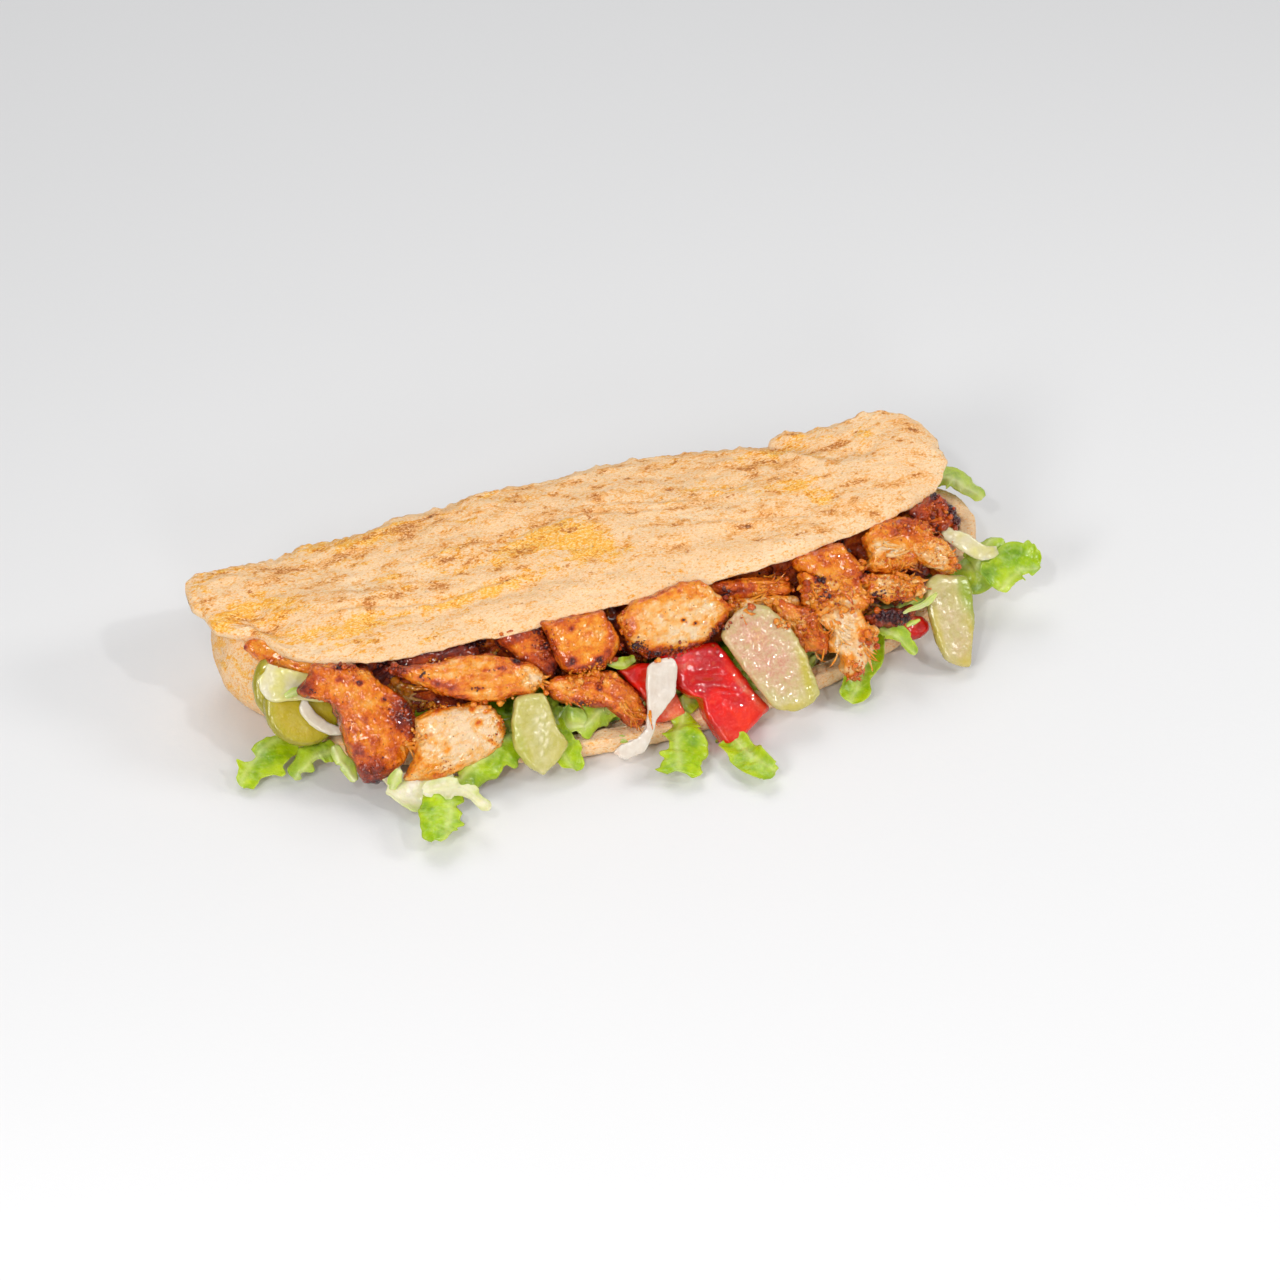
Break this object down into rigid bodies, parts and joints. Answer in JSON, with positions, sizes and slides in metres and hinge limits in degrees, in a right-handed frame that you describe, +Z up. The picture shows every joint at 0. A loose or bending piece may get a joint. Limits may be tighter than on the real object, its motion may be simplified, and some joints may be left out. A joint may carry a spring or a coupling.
{
  "type": "doner kebab sandwich",
  "caption": "Long oval pocket flatbread slit along one side and filled with roast chicken cuts, sliced cucumber pickle, tomato, white onion and shredded lettuce.",
  "frame": {"origin": "centre of the whole part's box, on the base plane", "axes": "+X along the bread toward its open end, -Y toward the slit side, +Z up"},
  "size_m": [0.2728, 0.1244, 0.0514],
  "materials": {
    "flatbread": "baked, floury, browned in streaks",
    "roast_chicken": "roasted and glazed, charred at the edges",
    "lettuce": "fresh, slightly waxy",
    "white_onion": "moist, part translucent",
    "pickled_cucumber": "wet, part translucent",
    "tomato": "wet cut flesh and smooth skin"
  },
  "bodies": {
    "root": {"bread": "flatbread", "chicken_01": "roast_chicken", "chicken_02": "roast_chicken", "chicken_03": "roast_chicken", "chicken_04": "roast_chicken", "chicken_05": "roast_chicken", "chicken_06": "roast_chicken", "chicken_07": "roast_chicken", "chicken_08": "roast_chicken", "chicken_09": "roast_chicken", "chicken_10": "roast_chicken", "chicken_11": "roast_chicken", "chicken_12": "roast_chicken", "chicken_13": "roast_chicken", "chicken_14": "roast_chicken", "chicken_15": "roast_chicken", "chicken_16": "roast_chicken", "chicken_17": "roast_chicken", "chicken_18": "roast_chicken", "chicken_19": "roast_chicken", "chicken_20": "roast_chicken", "chicken_filling": "roast_chicken", "lettuce_01": "lettuce", "lettuce_02": "lettuce", "lettuce_03": "lettuce", "lettuce_04": "lettuce", "lettuce_05": "lettuce", "lettuce_06": "lettuce", "lettuce_07": "lettuce", "lettuce_08": "lettuce", "lettuce_09": "lettuce", "lettuce_10": "lettuce", "lettuce_11": "lettuce", "lettuce_12": "lettuce", "lettuce_13": "lettuce", "lettuce_14": "lettuce", "lettuce_15": "lettuce", "lettuce_16": "lettuce", "lettuce_bed": "lettuce", "onion_01": "white_onion", "onion_02": "white_onion", "onion_03": "white_onion", "onion_04": "white_onion", "pickle_01": "pickled_cucumber", "pickle_02": "pickled_cucumber", "pickle_03": "pickled_cucumber", "pickle_04": "pickled_cucumber", "pickle_05": "pickled_cucumber", "tomato_01": "tomato", "tomato_02": "tomato", "tomato_03": "tomato"}
  },
  "joints": []
}
